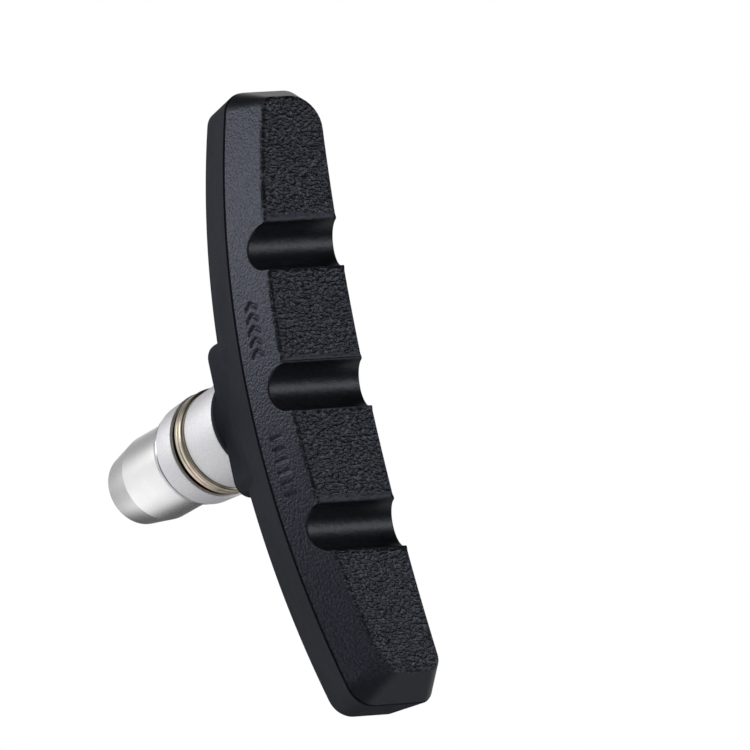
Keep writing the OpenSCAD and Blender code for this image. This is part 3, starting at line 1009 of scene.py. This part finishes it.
# Its flags: direction, the two angles in degrees between which the edge fades out, how dark the flag is,
# and the height, on a ball of radius 1, at which its top fades out. Above 1 it has no top.
FLAG_TOP_FADE, NO_TOP = 0.15, 2.0
FLAGS = (
    ((-0.22, -0.56, -0.80), 62, 88, 1.0, 0.7),
    ((-0.10, 0.60, -0.80), 30, 50, 0.70, 0.7),
    ((-0.20, 0.92, 0.34), 30, 60, 0.62, 0.7),
    ((-0.84, 0.15, 0.51), 22, 38, 0.92, 0.7),
    ((0.25, 0.93, 0.25), 13, 46, 0.90, 0.7),
    ((0.82, 0.30, 0.40), 20, 42, 0.92, 0.7),
    ((-0.75, -0.60, 0.35), 25, 45, 0.80, 0.7),
    ((0.30, -0.52, 0.80), 13, 44, 0.78, NO_TOP),
    ((-0.45, 0.40, 0.80), 14, 44, 0.25, NO_TOP),
    ((0.04, 0.24, 0.97), 4, 22, 0.55, NO_TOP),
)


def stage_material(name):
    """A new material with nothing but its output, its node tree and the output's surface socket."""
    material = bpy.data.materials.new(name)
    material.use_nodes = True
    tree = material.node_tree
    tree.nodes.clear()
    return material, tree, tree.nodes.new("ShaderNodeOutputMaterial").inputs["Surface"]


def mix_shaders(tree, factor, a, b):
    mix = tree.nodes.new("ShaderNodeMixShader")
    tree.links.new(factor, mix.inputs["Fac"])
    tree.links.new(a, mix.inputs[1])
    tree.links.new(b, mix.inputs[2])
    return mix.outputs[0]


def floor_material():
    """A pale matte that the camera sees from above only. From below it is clear."""
    material, tree, surface = stage_material("floor")
    matte = tree.nodes.new("ShaderNodeBsdfDiffuse")
    matte.inputs["Color"].default_value = FLOOR_COLOUR
    lift = tree.nodes.new("ShaderNodeEmission")
    lift.inputs["Strength"].default_value = FLOOR_LIFT
    pale = tree.nodes.new("ShaderNodeAddShader")
    tree.links.new(matte.outputs[0], pale.inputs[0])
    tree.links.new(lift.outputs[0], pale.inputs[1])
    clear = tree.nodes.new("ShaderNodeBsdfTransparent")
    path = tree.nodes.new("ShaderNodeLightPath")
    side = tree.nodes.new("ShaderNodeNewGeometry")
    above = tree.nodes.new("ShaderNodeMath")
    above.operation = "SUBTRACT"
    above.use_clamp = True
    tree.links.new(path.outputs["Is Camera Ray"], above.inputs[0])
    tree.links.new(side.outputs["Backfacing"], above.inputs[1])
    tree.links.new(mix_shaders(tree, above.outputs[0], clear.outputs[0], pale.outputs[0]), surface)
    return material


def add_floor():
    """A pale floor just under the friction face, which takes the pad's shadow."""
    mesh = bpy.data.meshes.new("floor")
    h = FLOOR_HALF
    mesh.from_pydata([(-h, -h, 0), (h, -h, 0), (h, h, 0), (-h, h, 0)], [], [(0, 1, 2, 3)])
    mesh.materials.append(floor_material())
    floor = link(bpy.data.objects.new("floor", mesh))
    floor.location.z = -FLOOR_DROP


def add_world():
    """Surroundings that are white to the camera and in reflections, and light the pad more weakly."""
    world = bpy.data.worlds.new("studio")
    bpy.context.scene.world = world
    world.use_nodes = True
    tree = world.node_tree
    background = tree.nodes["Background"]
    background.inputs["Color"].default_value = (1, 1, 1, 1)
    path = tree.nodes.new("ShaderNodeLightPath")
    seen = path.outputs["Is Camera Ray"]
    for name in ("Is Glossy Ray", "Is Transmission Ray"):
        add = tree.nodes.new("ShaderNodeMath")
        add.operation = "MAXIMUM"
        tree.links.new(seen, add.inputs[0])
        tree.links.new(path.outputs[name], add.inputs[1])
        seen = add.outputs[0]
    level = tree.nodes.new("ShaderNodeMapRange")
    level.inputs["To Min"].default_value = WORLD_LIGHT
    level.inputs["To Max"].default_value = WORLD_SEEN
    tree.links.new(seen, level.inputs["Value"])
    tree.links.new(level.outputs["Result"], background.inputs["Strength"])


def add_lamp(name, direction, width, height, power):
    """A soft lamp that is turned to the pad's middle."""
    data = bpy.data.lights.new(name, "AREA")
    data.shape = "RECTANGLE"
    data.size, data.size_y = width, height
    data.energy = power
    lamp = link(bpy.data.objects.new(name, data))
    way = Vector(direction).normalized()
    lamp.location = Vector(AIM_AT) + way * LAMP_DISTANCE
    lamp.rotation_mode = "QUATERNION"
    lamp.rotation_quaternion = way.to_track_quat("Z", "Y")


def tent_shade(way):
    """How dark the tent is in a direction: 0 lets the white surroundings through."""
    clear = float(np.interp(way.dot(Vector(WINDOW_WAY)), *zip(*WINDOW_RAMP)))
    for direction, start, end, depth, top in FLAGS:
        angle = math.degrees(way.angle(Vector(direction)))
        cover = (1 - smoothstep(angle, start, end)) * (1 - smoothstep(way.z, top - FLAG_TOP_FADE, top))
        clear *= 1 - depth * float(cover)
    return 1 - clear


def tent_material():
    """Black where the mesh's shade is 1 and clear where it is 0."""
    material, tree, surface = stage_material("tent")
    shade = tree.nodes.new("ShaderNodeAttribute")
    shade.attribute_name = "shade"
    clear = tree.nodes.new("ShaderNodeBsdfTransparent")
    black = tree.nodes.new("ShaderNodeEmission")
    black.inputs["Strength"].default_value = 0
    tree.links.new(mix_shaders(tree, shade.outputs["Fac"], clear.outputs[0], black.outputs[0]), surface)
    return material


def add_tent():
    """A photographer's tent of soft black flags round the pad. Only reflections see it."""
    mesh = bpy.data.meshes.new("tent")
    ball = bmesh.new()
    bmesh.ops.create_icosphere(ball, subdivisions=6, radius=TENT_R)
    ball.to_mesh(mesh)
    ball.free()
    layer = mesh.attributes.new("shade", "FLOAT", "POINT")
    layer.data.foreach_set("value", [tent_shade(vertex.co.normalized()) for vertex in mesh.vertices])
    mesh.materials.append(tent_material())
    tent = link(bpy.data.objects.new("tent", mesh))
    tent.visible_camera = False
    tent.visible_diffuse = False
    tent.visible_shadow = False
    tent.visible_transmission = False


def add_studio():
    bpy.context.scene.view_settings.view_transform = "Standard"
    add_world()
    add_floor()
    add_tent()
    for name, settings in LAMPS.items():
        add_lamp(name, *settings)


make_block()
make_cups()
make_domes()
make_flat_washer()
make_nut()
make_stud()
finish_plate()
add_studio()
